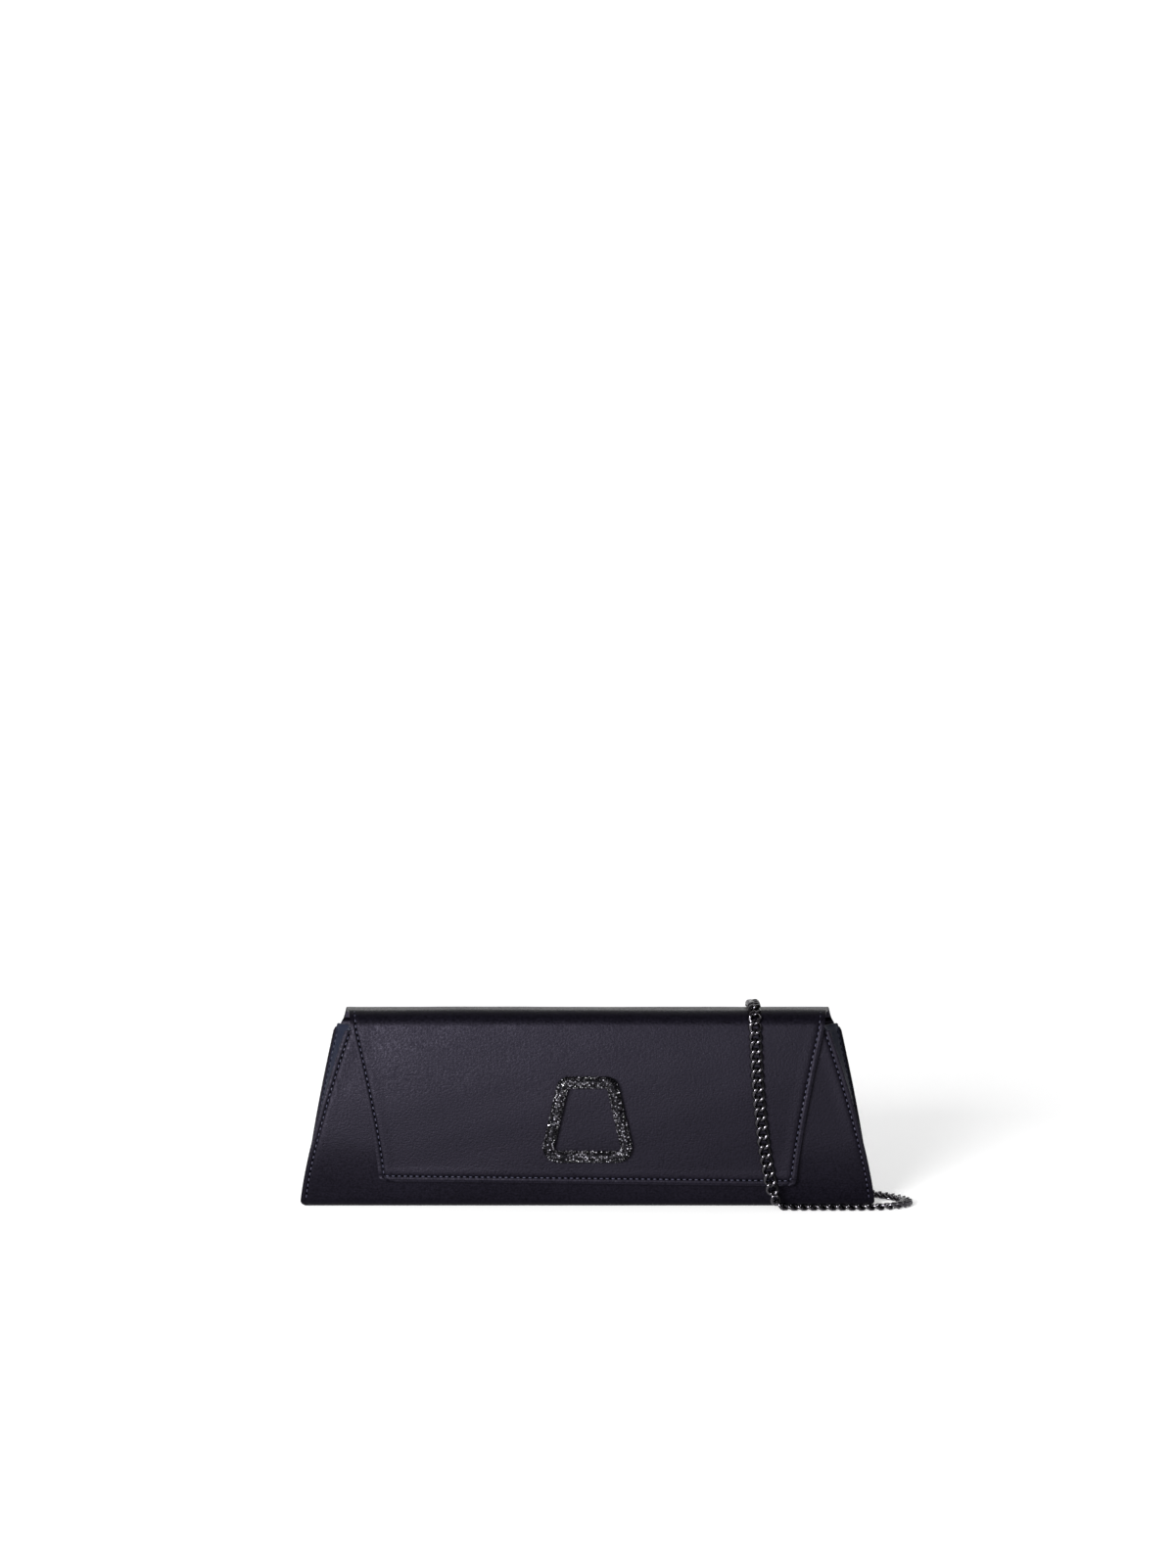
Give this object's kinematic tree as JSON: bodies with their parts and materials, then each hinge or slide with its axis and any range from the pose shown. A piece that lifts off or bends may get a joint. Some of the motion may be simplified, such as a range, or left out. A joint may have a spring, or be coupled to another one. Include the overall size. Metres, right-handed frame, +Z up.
{
  "type": "evening bag",
  "caption": "Structured dark satin evening clutch with a front flap, a tapered stone-set frame ornament, leather gussets and a gunmetal curb shoulder chain on trigger clasps",
  "frame": {"origin": "middle of the face that the bag stands on", "axes": "+X along the bag's width, -Y the front with the flap and ornament, +Z up"},
  "size_m": [0.3112, 0.101, 0.1038],
  "materials": {
    "satin": "satin",
    "board": "matte",
    "lining": "satin",
    "gusset_leather": "satin",
    "stones": "polished",
    "steel": "satin",
    "gunmetal": "polished"
  },
  "bodies": {
    "bag_body": {"front_panel": "satin", "back_panel": "satin", "base_panel": "satin", "ring_tab_left": "satin", "ring_tab_right": "satin", "front_board": "board", "back_board": "board", "base_board": "board", "front_lining": "lining", "back_lining": "lining", "base_lining": "lining", "slip_pocket": "lining", "chain_tie": "lining", "gusset_left": "gusset_leather", "gusset_right": "gusset_leather", "front_magnet": "steel", "front_magnet_washer": "steel", "clasp_left_rivet": "steel", "clasp_right_rivet": "steel", "clasp_left_spring": "steel", "clasp_right_spring": "steel", "clasp_left_body": "gunmetal", "clasp_right_body": "gunmetal", "jump_ring_left": "gunmetal", "jump_ring_right": "gunmetal", "chain_over_top": "gunmetal", "chain_front_drop": "gunmetal", "chain_floor_run": "gunmetal", "chain_hank": "gunmetal", "chain_riser": "gunmetal"},
    "flap": {"flap_panel": "satin", "flap_board": "board", "flap_lining": "lining", "flap_magnet": "steel", "ornament_frame": "stones", "ornament_posts": "steel", "ornament_washers": "steel"},
    "d_ring_left": {"d_ring_left": "gunmetal"},
    "d_ring_right": {"d_ring_right": "gunmetal"},
    "clasp_left_gate": {"clasp_left_gate": "gunmetal"},
    "clasp_right_gate": {"clasp_right_gate": "gunmetal"}
  },
  "joints": [
    {"name": "flap_hinge", "type": "hinge", "parent": "bag_body", "child": "flap", "pos_m": [0, 0.015, 0.092], "axis": [-1, 0, 0], "range_deg": [0, 180], "deforming": ["chain_over_top", "chain_front_drop", "chain_floor_run"]},
    {"name": "d_ring_left_swing", "type": "hinge", "parent": "bag_body", "child": "d_ring_left", "pos_m": [-0.084, 0.0204, 0.058], "axis": [1, 0, 0], "range_deg": [-6, 6]},
    {"name": "d_ring_right_swing", "type": "hinge", "parent": "bag_body", "child": "d_ring_right", "pos_m": [0.084, 0.0204, 0.058], "axis": [1, 0, 0], "range_deg": [-6, 6]},
    {"name": "clasp_left_gate_open", "type": "hinge", "parent": "bag_body", "child": "clasp_left_gate", "pos_m": [-0.084, 0.02493, 0.04371], "axis": [1, 0, 0], "range_deg": [0, 14], "stiffness_Nm_per_rad": 0.001, "springref_deg": -20.05},
    {"name": "clasp_right_gate_open", "type": "hinge", "parent": "bag_body", "child": "clasp_right_gate", "pos_m": [0.084, 0.02493, 0.07229], "axis": [-1, 0, 0], "range_deg": [0, 14], "stiffness_Nm_per_rad": 0.001, "springref_deg": -20.05}
  ]
}
